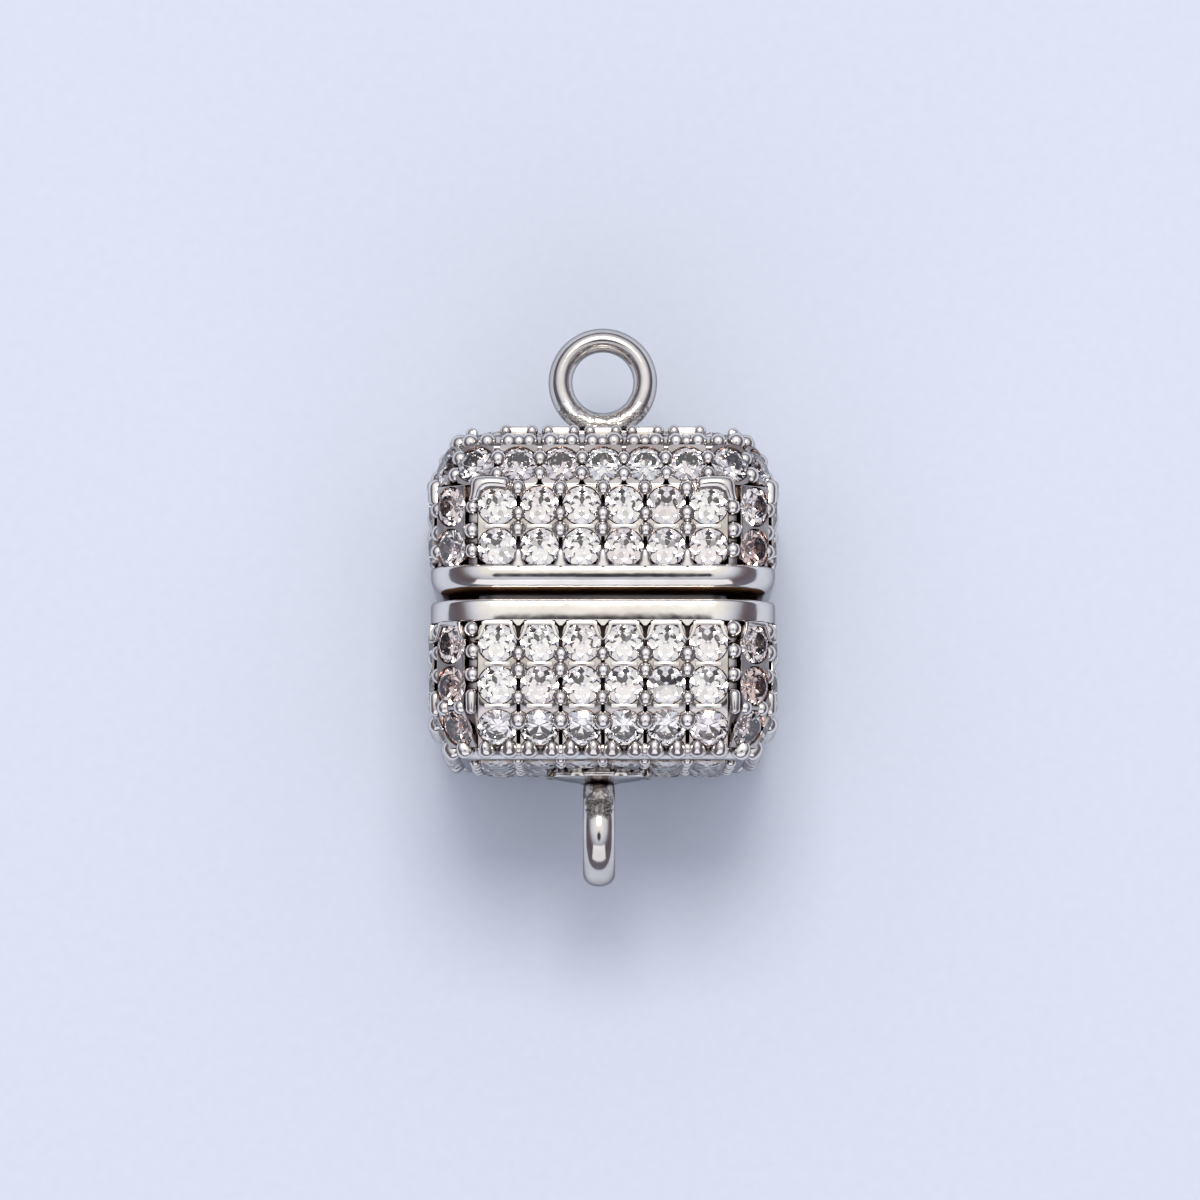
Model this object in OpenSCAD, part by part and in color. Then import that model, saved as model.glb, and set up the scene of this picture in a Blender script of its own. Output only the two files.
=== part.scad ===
// Square magnetic clasp, set all over with small cut stones, lying on one side.
// Each half is a cast cup: a plain rim at the seam, rows of stones round its wall and on its
// sloped edge, a field of stones on its end, and a loop soldered to a round plate there.
// A block magnet is glued in each cup. The lower one stands into the upper cup and keys it.

/* [Body] */
// Half the width of the metal between the stones, at the wall
wall_half = 5.2; // [4.8:0.05:6.2]
// Radius of the wall's rounded corners
corner_r = 1.9; // [1.75:0.05:2.2]
// Gap between the two rims when the clasp is shut
seam_gap = 0.2; // [0.1:0.05:0.4]
// Length of the plain rim along the clasp
rim_len = 0.72; // [0.5:0.02:1.2]
// How far the rim stands above the wall
rim_rise = 0.12; // [0.08:0.01:0.2]
// Chamfer on the rim's lip at the seam
lip_chamfer = 0.14; // [0.06:0.02:0.2]
// Length of the straight wall past the rim
wall_len = 2.6; // [2.5:0.05:4]
// Length of the sloped edge past the wall, along its slope
slope_len = 1.35; // [1.3:0.05:1.8]
// Angle by which the sloped edge leans in from the wall
slope_angle = 24; // [18:1:30]
// Length of the bevel between the sloped edge and the end, along the clasp
bevel_len = 0.35; // [0.25:0.05:0.5]
// How far that bevel steps in
bevel_in = 0.35; // [0.25:0.05:0.5]

/* [Stones] */
// Diameter of a stone
stone_d = 1.12; // [0.9:0.02:1.2]
// Gap between two stones of a row
stone_gap = 0.18; // [0.16:0.01:0.3]
// Height of a stone above its girdle
crown_h = 0.19; // [0.1:0.01:0.24]
// Depth of a stone below its girdle
pavilion_h = 0.48; // [0.35:0.01:0.55]
// Width of a stone's table
table_d = 0.64; // [0.5:0.01:0.8]
// Clearance between a stone and its seat
seat_clearance = 0.04; // [0.03:0.005:0.06]
// Radius of the blunt tip of a seat
seat_tip_r = 0.1; // [0.06:0.01:0.16]
// Angle of a corner stone on the upper slope, round the corner from the side
slope_corner_turn = 22; // [21:0.5:24]

/* [Prongs] */
// Diameter of a prong bead
bead_d = 0.38; // [0.32:0.01:0.44]
// How far a bead stands above the metal
bead_rise = 0.3; // [0.24:0.01:0.36]
// Space between a bead's foot and the nearest seat
bead_gap = 0.03; // [0.02:0.01:0.05]
// Width of a rim fin at its foot
fin_w = 0.5; // [0.36:0.02:0.56]
// Width of a rim fin at its tip
fin_tip_w = 0.1; // [0.06:0.02:0.12]
// Length of a rim fin past the rim
fin_len = 0.4; // [0.3:0.02:0.42]
// Width of the bars beside the corner stones
bar_w = 0.2; // [0.14:0.02:0.24]
// Length of those bars
bar_len = 0.5; // [0.4:0.05:0.6]
// How far those bars stand above the metal
bar_rise = 0.22; // [0.14:0.02:0.3]

/* [Loops] */
// Radius of a loop's hole
loop_hole_r = 0.96; // [0.8:0.02:1.2]
// Thickness of a loop's ring, measured outward from its hole
loop_thick = 0.75; // [0.6:0.05:0.9]
// Width of a loop's ring along its hole
loop_wide = 1; // [0.8:0.05:1.2]
// Rounding of the ring's edges
loop_round = 0.3; // [0.2:0.02:0.34]
// Distance from the plate's face to the centre of a loop's hole
loop_reach = 1.54; // [1.4:0.02:2]
// Radius of the round plate that carries a loop
plate_r = 1.65; // [1.55:0.05:1.8]
// Thickness of that plate
plate_thick = 0.18; // [0.12:0.02:0.3]
// Radius of the neck under the plate
neck_r = 1.38; // [1.2:0.02:1.4]
// Radius of the soldered foot on the plate
foot_r = 1.1; // [0.9:0.05:1.3]

/* [Magnets] */
// Thickness of the walls round the magnets, to the metal between the stones
cup_wall = 1.3; // [1.1:0.05:1.5]
// Thickness of the end wall
end_wall = 1.9; // [1.6:0.05:2.2]
// Corner radius of the magnets' cavity
cavity_r = 0.8; // [0.6:0.05:1.2]
// Clearance round a magnet, and between the two magnets
magnet_clearance = 0.05; // [0.03:0.01:0.1]
// How far the lower magnet stands past the middle of the seam
boss_h = 0.5; // [0.3:0.05:0.8]

/* [Hidden] */
$fn = 48;

FACETS = 8;
SIDES = [0, 1, 2, 3];
RIGHT = 90;
CORNER = RIGHT / 2;
EPS = 0.05;

// Places along the clasp, from the middle of the seam.
rim_start = seam_gap / 2;
rim_end = rim_start + rim_len;
wall_end = rim_end + wall_len;
slope_end = wall_end + slope_len * cos(slope_angle);
end_face = slope_end + bevel_len;

// Half widths of the metal, and of the straight stretch of each side.
rim_half = wall_half + rim_rise;
flat_half = wall_half - corner_r;
slope_half = wall_half - slope_len * sin(slope_angle);
end_half = slope_half - bevel_in;

// Stones and their rows.
stone_r = stone_d / 2;
seat_r = stone_r + seat_clearance;
pitch = stone_d + stone_gap;
columns = floor(2 * flat_half / pitch) + 1;
wall_rows = floor(wall_len / pitch + EPS);
row_step = wall_len / wall_rows;
slope_mid = slope_len / 2;
end_columns = floor(2 * (end_half - seat_r) / pitch) + 1;

// Prong beads are balls sunk in the metal; they stand beside the seats, off the rows' lines.
bead_r = bead_d / 2;
bead_lift = bead_rise - bead_r;
bead_foot_r = sqrt(pow(bead_r, 2) - pow(bead_lift, 2));
bead_off = sqrt(pow(seat_r + bead_foot_r + bead_gap, 2) - pow(pitch / 2, 2));

// Half-way round the outline between the last stone of a side and the corner stone.
corner_track_len = corner_track(wall_end, CORNER);
beside_corner = (corner_track_len + (columns - 1) / 2 * pitch) / 2;

// The loop's plate stands clear above the stones and beads round it.
plate_low = end_face + max(crown_h, bead_rise) + EPS;
plate_top = plate_low + plate_thick;
loop_centre = plate_top + loop_reach;
foot_h = loop_reach - loop_hole_r - EPS;

// The magnets' cavity.
cavity_half = wall_half - cup_wall;
cavity_end = end_face - end_wall;
magnet_half = cavity_half - magnet_clearance;

// Height of the clasp's middle above the surface that it lies on: it rests on its beads.
lie_height = wall_half + bead_rise;

function centred(n) = [for (i = [0:n - 1]) i - (n - 1) / 2];
function row_place(k) = rim_end + (k + 0.5) * row_step;
function half_at(a) = a <= wall_end ? wall_half : wall_half - (a - wall_end) * tan(slope_angle);
function lean_at(a) = a <= wall_end ? 0 : slope_angle;
function on_slope(d) = wall_end + d * cos(slope_angle);
function turn_at(s, a) =
    abs(s) <= flat_half ? 0 : sign(s) * (abs(s) - flat_half) / (half_at(a) - flat_half) * 180 / PI;
function corner_track(a, turn) = flat_half + (half_at(a) - flat_half) * turn * PI / 180;

// Puts its children on the wall or slope, at s round the outline and a along the clasp, with +Z
// out of the metal and +X towards the rim.
module on_wall(side, s, a) {
    rotate([0, 0, RIGHT * side])
        translate([flat_half, max(-flat_half, min(flat_half, s)), 0])
            rotate([0, 0, turn_at(s, a)])
                translate([half_at(a) - flat_half, 0, a])
                    rotate([0, RIGHT - lean_at(a), 0])
                        children();
}

// A body of rounded-square section, from its profile of [half width, place along the clasp].
module rounded_square_body(profile, straight) {
    mirrored = [for (i = [len(profile) - 1:-1:0]) [-profile[i][0], profile[i][1]]];
    for (turn = [0, RIGHT])
        rotate([RIGHT, 0, turn])
            linear_extrude(2 * straight, center = true)
                polygon(concat(profile, mirrored));
    for (side = SIDES)
        rotate([0, 0, RIGHT * side])
            translate([straight, straight, 0])
                rotate_extrude(angle = RIGHT)
                    polygon(concat([[0, profile[0][1]]],
                                   [for (p = profile) [p[0] - straight, p[1]]],
                                   [[0, profile[len(profile) - 1][1]]]));
}

module cast_body() {
    rounded_square_body([[rim_half - lip_chamfer, rim_start],
                         [rim_half, rim_start + lip_chamfer],
                         [rim_half, rim_end],
                         [wall_half, rim_end],
                         [wall_half, wall_end],
                         [slope_half, slope_end],
                         [end_half, end_face]], flat_half);
}

module cavity() {
    rounded_square_body([[cavity_half, rim_start - EPS], [cavity_half, cavity_end]],
                        cavity_half - cavity_r);
}

// One stone: a table, eight crown facets and eight pavilion facets, its girdle at z = 0.
module stone() {
    ring = [for (i = [0:FACETS - 1]) 360 * (i + 0.5) / FACETS];
    polyhedron(
        points = concat([for (t = ring) [table_d / 2 * cos(t), table_d / 2 * sin(t), crown_h]],
                        [for (t = ring) [stone_r * cos(t), stone_r * sin(t), 0]],
                        [[0, 0, -pavilion_h]]),
        faces = concat([[for (i = [FACETS - 1:-1:0]) i]],
                       [for (i = [0:FACETS - 1]) let (j = (i + 1) % FACETS)
                            [i, j, FACETS + j, FACETS + i]],
                       [for (i = [0:FACETS - 1]) let (j = (i + 1) % FACETS)
                            [FACETS + i, FACETS + j, 2 * FACETS]]));
}

// The hole that a stone sits in: straight above its girdle, and a blunt cone below it.
module seat() {
    rotate_extrude()
        polygon([[0, -pavilion_h - 2 * seat_clearance],
                 [seat_tip_r, -pavilion_h - 2 * seat_clearance],
                 [seat_r, -seat_clearance],
                 [seat_r, EPS],
                 [0, EPS]]);
}

// Children at each place of a stone on the wall and slope. When shifted, the slope's row stands
// half a pitch along from the wall's rows.
module at_wall_stones(shifted) {
    for (side = SIDES) {
        for (k = [0:wall_rows - 1]) {
            for (i = centred(columns)) on_wall(side, i * pitch, row_place(k)) children();
            on_wall(side, corner_track(row_place(k), CORNER), row_place(k)) children();
        }
        a = on_slope(slope_mid);
        for (i = centred(shifted ? columns - 1 : columns)) on_wall(side, i * pitch, a) children();
        for (turn = shifted ? [-slope_corner_turn, slope_corner_turn] : [CORNER])
            on_wall(side, sign(turn) * corner_track(a, abs(turn)), a) children();
    }
}

// Children at each place of a stone on the end, in rows round the loop's plate.
module at_end_stones() {
    for (i = centred(end_columns), j = centred(end_columns))
        if (norm([i, j]) * pitch > neck_r + seat_r)
            translate([i, j, 0] * pitch + [0, 0, end_face]) children();
}

// One prong bead, sunk in the metal by less than half.
module bead() {
    translate([0, 0, bead_lift]) sphere(bead_r);
}

// Children at each bead of the wall and slope: a pair in each gap between two rows of the wall,
// and one on either side of the slope's row.
module at_beads(shifted) {
    gaps = [for (i = centred(columns - 1)) i * pitch];
    last = wall_rows - 1;
    for (side = SIDES) {
        for (k = [0:last], s = concat(-beside_corner, gaps, beside_corner)) {
            if (k > 0) on_wall(side, s, row_place(k) - bead_off) children();
            if (k < last || abs(s) < beside_corner)
                on_wall(side, s, row_place(k) + bead_off) children();
        }
        for (i = centred(shifted ? columns - 2 : columns - 1), e = [-1, 1])
            on_wall(side, i * pitch, on_slope(slope_mid + e * bead_off)) children();
    }
}

// Beads all along the edge of the end, half a pitch apart, and between the stones of the end.
module at_end_beads() {
    edge = (slope_half + end_half) / 2;
    edge_place = (slope_end + end_face) / 2;
    edge_columns = floor(4 * (end_half - bead_r) / pitch);
    for (side = SIDES, i = centred(edge_columns))
        rotate([0, 0, RIGHT * side])
            translate([edge, i * pitch / 2, edge_place])
                rotate([0, atan2(bevel_len, bevel_in), 0]) children();
    for (i = centred(end_columns - 1), j = centred(end_columns - 1))
        if (norm([i, j]) * pitch > neck_r + bead_r)
            translate([i, j, 0] * pitch + [0, 0, end_face]) children();
}

// Pointed fins that run from the rim between the stones of the first row.
module fins() {
    for (side = SIDES, i = centred(columns - 1))
        on_wall(side, i * pitch, rim_end)
            translate([0, 0, -EPS])
                linear_extrude(rim_rise + EPS)
                    polygon([[EPS, -fin_w / 2], [EPS, fin_w / 2],
                             [-fin_len, fin_tip_w / 2], [-fin_len, -fin_tip_w / 2]]);
}

// Short bars at the end of the wall, between each side's last stone and the corner stone.
module bars() {
    for (side = SIDES, e = [-1, 1])
        on_wall(side, e * beside_corner, wall_end)
            translate([0, -bar_w / 2, -EPS]) cube([bar_len, bar_w, bar_rise + EPS]);
}

// Ring of a loop, its hole along Z.
module loop_ring() {
    steps = [0:RIGHT / 3:RIGHT];
    mid_r = loop_hole_r + loop_thick / 2;
    x = loop_thick / 2 - loop_round;
    y = loop_wide / 2 - loop_round;
    rotate_extrude()
        translate([mid_r, 0])
            polygon([for (q = [[1, 1, 0], [-1, 1, RIGHT], [-1, -1, 2 * RIGHT], [1, -1, 3 * RIGHT]],
                          t = steps)
                         [q[0] * x + loop_round * cos(q[2] + t),
                          q[1] * y + loop_round * sin(q[2] + t)]]);
}

// Plate, soldered foot and ring. The ring's hole runs along local Y, or along X when turned.
module loop(turned) {
    translate([0, 0, end_face - EPS]) cylinder(r = neck_r, h = plate_low - end_face + 2 * EPS);
    translate([0, 0, plate_low]) cylinder(r = plate_r, h = plate_thick);
    translate([0, 0, plate_top - EPS])
        cylinder(r1 = foot_r, r2 = loop_wide / 2 + EPS, h = foot_h + EPS);
    translate([0, 0, loop_centre]) rotate([RIGHT, 0, turned ? RIGHT : 0]) loop_ring();
}

// One half's metal, its axis along +Z from the middle of the seam.
module shell(shifted, turned) {
    difference() {
        cast_body();
        cavity();
        at_wall_stones(shifted) seat();
        at_end_stones() seat();
    }
    fins();
    bars();
    at_beads(shifted) bead();
    at_end_beads() bead();
    loop(turned);
}

// All the stones of one half.
module stones(shifted) {
    at_wall_stones(shifted) stone();
    at_end_stones() stone();
}

// A block magnet, from one place along the clasp to another.
module magnet(low, high) {
    rounded_square_body([[magnet_half, low], [magnet_half, high]], cavity_half - cavity_r);
}

module lower_half() {
    translate([0, 0, lie_height]) rotate([RIGHT, 0, 0]) children();
}

module upper_half() {
    translate([0, 0, lie_height]) rotate([-RIGHT, 0, 0]) children();
}

module lower_shell() {
    color("silver") lower_half() shell(shifted = false, turned = true);
}

module lower_stones() {
    color("azure") lower_half() stones(shifted = false);
}

module lower_magnet() {
    color("slategray") lower_half() magnet(-boss_h, cavity_end - magnet_clearance);
}

module upper_shell() {
    color("silver") upper_half() shell(shifted = true, turned = false);
}

module upper_stones() {
    color("azure") upper_half() stones(shifted = true);
}

module upper_magnet() {
    color("slategray") upper_half()
        magnet(boss_h + magnet_clearance, cavity_end - magnet_clearance);
}

lower_shell();
lower_stones();
lower_magnet();
upper_shell();
upper_stones();
upper_magnet();
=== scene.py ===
# %% [markdown]
# A square magnetic clasp, set all over with small stones
#
# A magnetic clasp closes a bracelet or a necklace. This one is two cast cups with a block magnet in
# each. Their outsides are covered in small round stones, held by prong beads: the setter calls that
# pave. Each half ends in a round plate with a loop soldered on, where the chain is hooked in.
#
# The lesson first models what repeats, such as a stone, a strip or a bead, once each. Then it puts
# each half together standing on its seam, and lays it down where the solid model has it. Everything
# is modelled in millimetres and shrunk to metres at the very end of each piece, because edge widths
# like 0.02 are easier to read than 0.00002.

import math
import random

import bmesh
import bpy
from mathutils import Matrix, Vector


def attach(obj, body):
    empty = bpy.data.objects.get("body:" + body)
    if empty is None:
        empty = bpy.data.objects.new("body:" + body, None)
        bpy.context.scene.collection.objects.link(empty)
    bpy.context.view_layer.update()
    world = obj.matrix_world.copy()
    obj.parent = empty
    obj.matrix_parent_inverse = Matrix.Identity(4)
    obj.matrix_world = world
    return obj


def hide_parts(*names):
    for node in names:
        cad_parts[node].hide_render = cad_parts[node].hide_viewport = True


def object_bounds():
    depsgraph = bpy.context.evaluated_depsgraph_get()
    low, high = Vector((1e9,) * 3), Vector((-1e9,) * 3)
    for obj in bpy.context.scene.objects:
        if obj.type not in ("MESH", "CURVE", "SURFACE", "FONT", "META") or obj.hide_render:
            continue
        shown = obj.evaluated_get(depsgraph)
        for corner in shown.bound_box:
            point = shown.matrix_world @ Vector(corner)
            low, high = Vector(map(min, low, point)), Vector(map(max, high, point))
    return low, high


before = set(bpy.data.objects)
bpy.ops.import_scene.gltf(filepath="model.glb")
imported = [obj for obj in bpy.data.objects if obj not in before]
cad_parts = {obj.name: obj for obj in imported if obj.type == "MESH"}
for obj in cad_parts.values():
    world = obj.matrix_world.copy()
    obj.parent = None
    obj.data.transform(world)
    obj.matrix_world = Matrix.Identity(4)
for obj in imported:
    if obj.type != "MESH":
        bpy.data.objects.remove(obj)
cad_low, cad_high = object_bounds()
MM = 0.001
print("frame box in mm:", [round(v / MM, 2) for v in cad_high - cad_low])

# %% [markdown]
# The camera
#
# The photograph is taken almost straight down, leaning four degrees towards the lower end, so the
# upper loop's hole shows open and the lower loop shows edge on. The lens is long: a jeweller's
# macro shot is made from a hand's length away or more, and the perspective is gentle. The lengths
# in this cell are in metres.

# %% Camera
LIE_HEIGHT = (cad_high.z + cad_low.z) / 2
LEAN = math.radians(4)
DISTANCE = 0.25
FRAME_WIDTH = 0.0377
SENSOR_WIDTH = 36
SIDEWAYS = -0.00009
ALONG = 0.00022

camera_data = bpy.data.cameras.new("camera")
camera_data.sensor_width = SENSOR_WIDTH
camera_data.lens = SENSOR_WIDTH * DISTANCE / FRAME_WIDTH
camera_data.clip_start = 0.01
camera_data.clip_end = 5
camera = bpy.data.objects.new("camera", camera_data)
bpy.context.scene.collection.objects.link(camera)
camera.location = (SIDEWAYS, ALONG - DISTANCE * math.sin(LEAN),
                   LIE_HEIGHT + DISTANCE * math.cos(LEAN))
camera.rotation_euler = (LEAN, 0, 0)
bpy.context.scene.camera = camera
print("lens", round(camera_data.lens), "mm")

# %% [markdown]
# Adding and editing by hand
#
# An operator acts on all that is selected, and a new primitive is selected all over, so each
# helper starts by deselecting. `add` applies a primitive's place at once, so that edit mode shows
# the half's own millimetres.

# %% Add a primitive and edit it
def start_fresh():
    if bpy.context.object and bpy.context.object.mode != "OBJECT":
        bpy.ops.object.mode_set(mode="OBJECT")
    bpy.ops.object.select_all(action="DESELECT")


def make_active(piece):
    start_fresh()
    piece.select_set(True)
    bpy.context.view_layer.objects.active = piece


def add(primitive, **settings):
    start_fresh()
    primitive(**settings)
    bpy.ops.object.transform_apply(location=True, rotation=True, scale=True)
    return bpy.context.object


def box(x, y, z):
    """A cube stretched between three pairs of limits."""
    return add(bpy.ops.mesh.primitive_cube_add, size=1, location=[(a + b) / 2 for a, b in (x, y, z)],
               scale=[b - a for a, b in (x, y, z)])


def edit(piece):
    make_active(piece)
    bpy.ops.object.mode_set(mode="EDIT")


def done():
    bpy.ops.object.mode_set(mode="OBJECT")


# %% [markdown]
# Picking faces and edges
#
# By hand one would click on a face. In code `pick` selects faces, edges or vertices by a test on
# their middle and their direction: a face's normal, or the way an edge runs. A direction whose
# share along an axis is over NEARLY counts as running that way, and a length under a HAIR, in
# millimetres, counts as none.

# %% Pick, then extrude, inset and bevel
NEARLY = 0.9
HAIR = 0.01


def pick(kind, test):
    """Selects the faces, edges or vertices that pass the test, and nothing else."""
    bpy.ops.mesh.select_all(action="DESELECT")
    bpy.ops.mesh.select_mode(type={"faces": "FACE", "edges": "EDGE", "verts": "VERT"}[kind])
    mesh = bmesh.from_edit_mesh(bpy.context.object.data)
    for item in getattr(mesh, kind):
        if kind == "faces":
            middle, along = item.calc_center_median(), item.normal
        elif kind == "edges":
            middle = (item.verts[0].co + item.verts[1].co) / 2
            along = (item.verts[1].co - item.verts[0].co).normalized()
        else:
            middle, along = item.co, item.normal
        if test(middle, along):
            item.select_set(True)
    mesh.select_flush_mode()
    bmesh.update_edit_mesh(bpy.context.object.data)


def facing_up(middle, normal):
    return normal.z > NEARLY


def facing_down(middle, normal):
    return normal.z < -NEARLY


def extrude(x, y, z):
    bpy.ops.mesh.extrude_region_move(TRANSFORM_OT_translate={"value": (x, y, z)})


def inset(step_in, step_up):
    """Steps the picked faces in by one length and along their normal by another."""
    bpy.ops.mesh.inset(thickness=step_in, depth=step_up, use_even_offset=True)


def round_picked(size, segments):
    bpy.ops.mesh.bevel(offset=size, segments=segments)


def taper(steps):
    """Draws the top face up in steps of (rise, width, height), the last two as shares."""
    for rise, width, height in steps:
        pick("faces", facing_up)
        extrude(0, 0, rise)
        bpy.ops.transform.resize(value=(height, width, 1))


def point_outwards():
    bpy.ops.mesh.select_all(action="SELECT")
    bpy.ops.mesh.normals_make_consistent(inside=False)


# %% [markdown]
# Modifiers
#
# Bevels and subdivision could stay live to the end. Here a modifier is applied as soon as it is
# set, so what follows works on the real mesh, and pieces with different modifiers can be joined.

# %% Modifiers and smooth shading
def add_modifier(piece, kind, **settings):
    make_active(piece)
    modifier = piece.modifiers.new(kind.title(), kind)
    for name, value in settings.items():
        setattr(modifier, name, value)
    bpy.ops.object.modifier_apply(modifier=modifier.name)


def soften(piece, width, segments=2, angle=40):
    """Rounds every edge that is sharper than an angle in degrees."""
    add_modifier(piece, "BEVEL", width=width, segments=segments, limit_method="ANGLE",
                 angle_limit=math.radians(angle))


def smooth(piece, angle=32):
    make_active(piece)
    bpy.ops.object.shade_smooth_by_angle(angle=math.radians(angle))


# %% [markdown]
# Copies and masters
#
# What repeats is a master: it is modelled once, kept by its name, copied with a mesh of its own for
# each copy, and thrown away when both halves are done. Every copy's place goes into its mesh, so
# that the finished object stays at the origin.

# %% Place, copy and join
def place(piece, matrix):
    make_active(piece)
    piece.matrix_world = matrix @ piece.matrix_world
    bpy.ops.object.transform_apply(location=True, rotation=True, scale=True)


def join(pieces, name):
    start_fresh()
    for piece in pieces:
        piece.select_set(True)
    bpy.context.view_layer.objects.active = pieces[0]
    bpy.ops.object.join()
    joined = bpy.context.object
    joined.name = joined.data.name = name
    bpy.ops.object.transform_apply(location=True, rotation=True, scale=True)
    return joined


def copies(master, matrices, name):
    """One piece out of many copies of a master, each at its own matrix and with its own mesh."""
    made = []
    for matrix in matrices:
        copy = master.copy()
        copy.data = master.data.copy()
        bpy.context.scene.collection.objects.link(copy)
        copy.matrix_world = matrix
        made.append(copy)
    return join(made, name)


def throw_away(*pieces):
    for piece in pieces:
        bpy.data.objects.remove(piece, do_unlink=True)


def report(piece):
    sides = [round(v, 2) for v in piece.dimensions]
    print(f"{piece.name}: {len(piece.data.polygons)} faces, {sides}")


masters = {}


def keep_master(name, piece):
    piece.name = piece.data.name = name + "_master"
    masters[name] = piece
    report(piece)


# %% [markdown]
# The finishes
#
# The outside is a bright white-gold coloured plating: almost a mirror, with fine polishing marks and
# a faint unevenness from the casting under it. A metallic shader with low roughness does most of
# it. Real plated metal also darkens where it is seen edge on, and that rim of shadow is what
# separates one bead from the next: the specular tint of a metal sets it.
#
# The marks could be an image, but noise on the object's own coordinates has no seams and is sharp
# at any distance. These helpers add one node each.

# %% Nodes that the finishes share
COLOUR_A, COLOUR_B, COLOUR_OUT = 6, 7, 2


def new_material(name):
    material = bpy.data.materials.new(name)
    material.use_nodes = True
    nodes = material.node_tree.nodes
    return material, nodes, material.node_tree.links, nodes["Principled BSDF"]


def noise(nodes, links, scale, detail):
    """A noise on the object's own metres, from 0 to 1."""
    coords = nodes.new("ShaderNodeTexCoord")
    texture = nodes.new("ShaderNodeTexNoise")
    texture.inputs["Scale"].default_value = scale
    texture.inputs["Detail"].default_value = detail
    links.new(coords.outputs["Object"], texture.inputs["Vector"])
    return texture.outputs["Fac"]


def ramp(nodes, links, source, stops):
    """A colour ramp on a value, from a list of (place, colour)."""
    node = nodes.new("ShaderNodeValToRGB")
    links.new(source, node.inputs["Fac"])
    first, last = node.color_ramp.elements
    first.position, first.color = stops[0][0], (*stops[0][1], 1)
    last.position, last.color = stops[-1][0], (*stops[-1][1], 1)
    for position, colour in stops[1:-1]:
        node.color_ramp.elements.new(position).color = (*colour, 1)
    return node.outputs["Color"]


def multiply(nodes, links, first, second):
    """One colour times another, through the sockets that a Mix node has for colours."""
    product = nodes.new("ShaderNodeMix")
    product.data_type = "RGBA"
    product.blend_type = "MULTIPLY"
    product.inputs["Factor"].default_value = 1
    links.new(first, product.inputs[COLOUR_A])
    links.new(second, product.inputs[COLOUR_B])
    return product.outputs[COLOUR_OUT]


def add_bump(nodes, links, shader, height, strength, depth):
    """Lays a bump over the one that the finish may already have."""
    bump = nodes.new("ShaderNodeBump")
    bump.inputs["Strength"].default_value = strength
    bump.inputs["Distance"].default_value = depth
    links.new(height, bump.inputs["Height"])
    for link in list(shader.inputs["Normal"].links):
        links.new(link.from_socket, bump.inputs["Normal"])
    links.new(bump.outputs["Normal"], shader.inputs["Normal"])


# %% [markdown]
# The metals
#
# Only the outside is polished. The strips round the stones are duller. The seats keep a warmer
# tone, because the plating bath hardly reaches them, and it comes back pink through the stones.
# The bottom of the slots between the strips is painted nearly brown, as painted shade of the deep
# slots. On the mating faces and inside the cups the brown of the bare brass shows, painted very dark
# as the shade in the gap between the halves. The magnets have a plain satin nickel coat. All of them
# are one recipe with other colours and another roughness, so they are made by one function.
#
# Narrow places are darkened as painted shade. Painting that by hand would take days, so ambient
# occlusion measures how narrow a place is, and the colour is darkened there.

# %% Metals
EDGE_SHADE = (0.4, 0.4, 0.44, 1)
CLOUDS, POLISH, RIPPLES = 900, 2500, 1300       # noise scales, to the metre
RIPPLE_STRENGTH, RIPPLE_DEPTH = 0.5, 0.00002    # the depth in metres
# Painted shade: the colour is darkened in places narrower than this gap.
SHADED_GAP = 0.00022                            # metres
CREVICE_SHADE = [(0.25, (0.24, 0.18, 0.18)), (0.75, (1, 1, 1))]


def paint(piece, *finishes):
    piece.data.materials.clear()
    for finish in finishes:
        piece.data.materials.append(finish)


def shade_crevices(nodes, links, colour):
    """Darkens a colour as painted shade in places that are narrower than the gap."""
    reach = nodes.new("ShaderNodeAmbientOcclusion")
    reach.samples = 6
    reach.inputs["Distance"].default_value = SHADED_GAP
    return multiply(nodes, links, colour, ramp(nodes, links, reach.outputs["AO"], CREVICE_SHADE))


def metal_finish(name, light, dark, smoothest, roughest):
    material, nodes, links, shader = new_material(name)
    shader.inputs["Metallic"].default_value = 1
    shader.inputs["Specular Tint"].default_value = EDGE_SHADE
    colour = ramp(nodes, links, noise(nodes, links, CLOUDS, 3), [(0.35, dark), (0.65, light)])
    # The base colour gets painted shade in narrow places.
    links.new(shade_crevices(nodes, links, colour), shader.inputs["Base Color"])
    rough = ramp(nodes, links, noise(nodes, links, POLISH, 4),
                 [(0.3, (smoothest,) * 3), (0.7, (roughest,) * 3)])
    links.new(rough, shader.inputs["Roughness"])
    add_bump(nodes, links, shader, noise(nodes, links, RIPPLES, 2), RIPPLE_STRENGTH, RIPPLE_DEPTH)
    return material


metal = metal_finish("plated_metal", (0.87, 0.84, 0.80), (0.78, 0.74, 0.69), 0.09, 0.16)
cast_metal = metal_finish("cast_metal", (0.66, 0.62, 0.59), (0.46, 0.42, 0.39), 0.12, 0.24)
ring_metal = metal_finish("ring_metal", (0.77, 0.74, 0.71), (0.64, 0.61, 0.57), 0.09, 0.16)
seat_metal = metal_finish("seat_metal", (0.74, 0.60, 0.53), (0.46, 0.33, 0.28), 0.18, 0.35)
# Painted shade for the deep slots between the strips: a dark brown.
slot_shade = metal_finish("painted_slot_shade", (0.34, 0.25, 0.24), (0.20, 0.145, 0.14), 0.35, 0.55)
# Bare brass brown, painted very dark as the shade in the gap between the halves.
brass_and_gap_shade = metal_finish("shaded_bare_brass", (0.20, 0.10, 0.05), (0.10, 0.05, 0.03), 0.35, 0.5)
nickel = metal_finish("nickel", (0.52, 0.52, 0.53), (0.42, 0.42, 0.44), 0.28, 0.42)
print("metals:", [m.name for m in (metal, cast_metal, ring_metal, seat_metal, slot_shade, brass_and_gap_shade, nickel)])

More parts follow.
